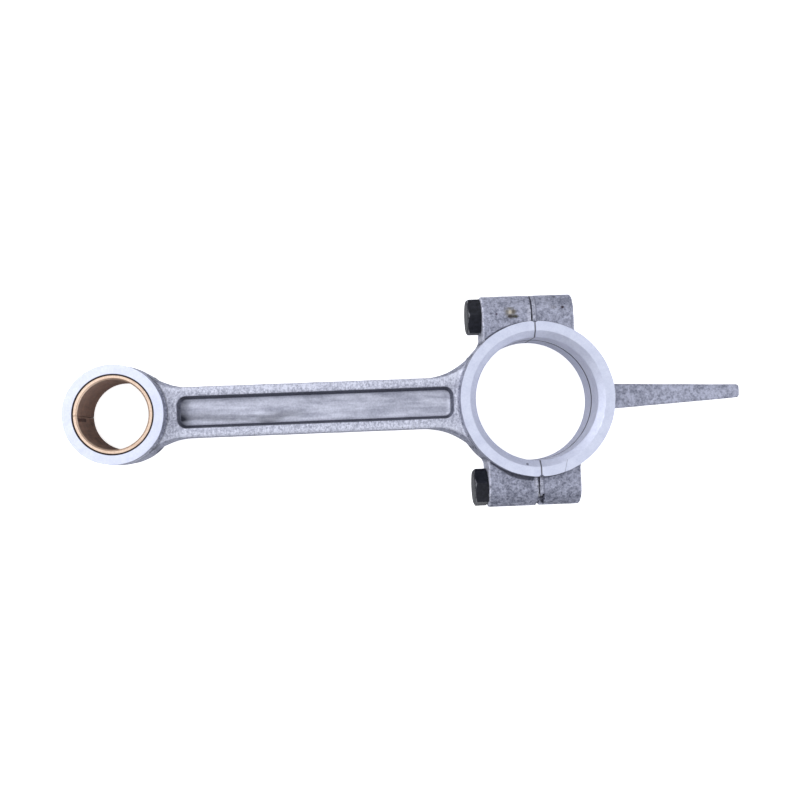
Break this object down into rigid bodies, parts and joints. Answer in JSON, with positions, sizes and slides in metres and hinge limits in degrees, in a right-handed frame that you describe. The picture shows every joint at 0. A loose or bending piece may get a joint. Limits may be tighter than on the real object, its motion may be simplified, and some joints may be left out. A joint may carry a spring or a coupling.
{
  "type": "connecting rod",
  "caption": "Split connecting rod with an I-section shank, a bushed small end, a bolted bearing cap and an oil dipper on the cap.",
  "frame": {"origin": "centre of the crankpin bore, at the middle of the rod's width", "axes": "+X along the rod from the wrist pin to the cap and the dipper's tip, +Z along both bores, +Y across the rod; the rod lies flat"},
  "size_m": [0.2772, 0.0876, 0.03],
  "materials": {
    "cast_rod": "as cast, with turned faces and bores",
    "cast_cap": "as cast, with turned faces and bore",
    "bush_bronze": "turned, unpolished",
    "black_bolt_steel": "black oxide, satin",
    "dowel_steel": "ground"
  },
  "bodies": {
    "rod": {"rod_body": "cast_rod", "small_end_bush": "bush_bronze", "dowel_upper": "dowel_steel", "dowel_lower": "dowel_steel"},
    "cap": {"bearing_cap": "cast_cap"},
    "upper_bolt": {"bolt_upper": "black_bolt_steel"},
    "lower_bolt": {"bolt_lower": "black_bolt_steel"}
  },
  "joints": [
    {"name": "cap_removal", "type": "slide", "parent": "rod", "child": "cap", "axis": [1, 0, 0], "range_m": [0, 0.03]},
    {"name": "bolt_upper_withdrawal", "type": "slide", "parent": "rod", "child": "upper_bolt", "axis": [-1, 0, 0], "range_m": [0, 0.04]},
    {"name": "bolt_lower_withdrawal", "type": "slide", "parent": "rod", "child": "lower_bolt", "axis": [-1, 0, 0], "range_m": [0, 0.04]}
  ]
}
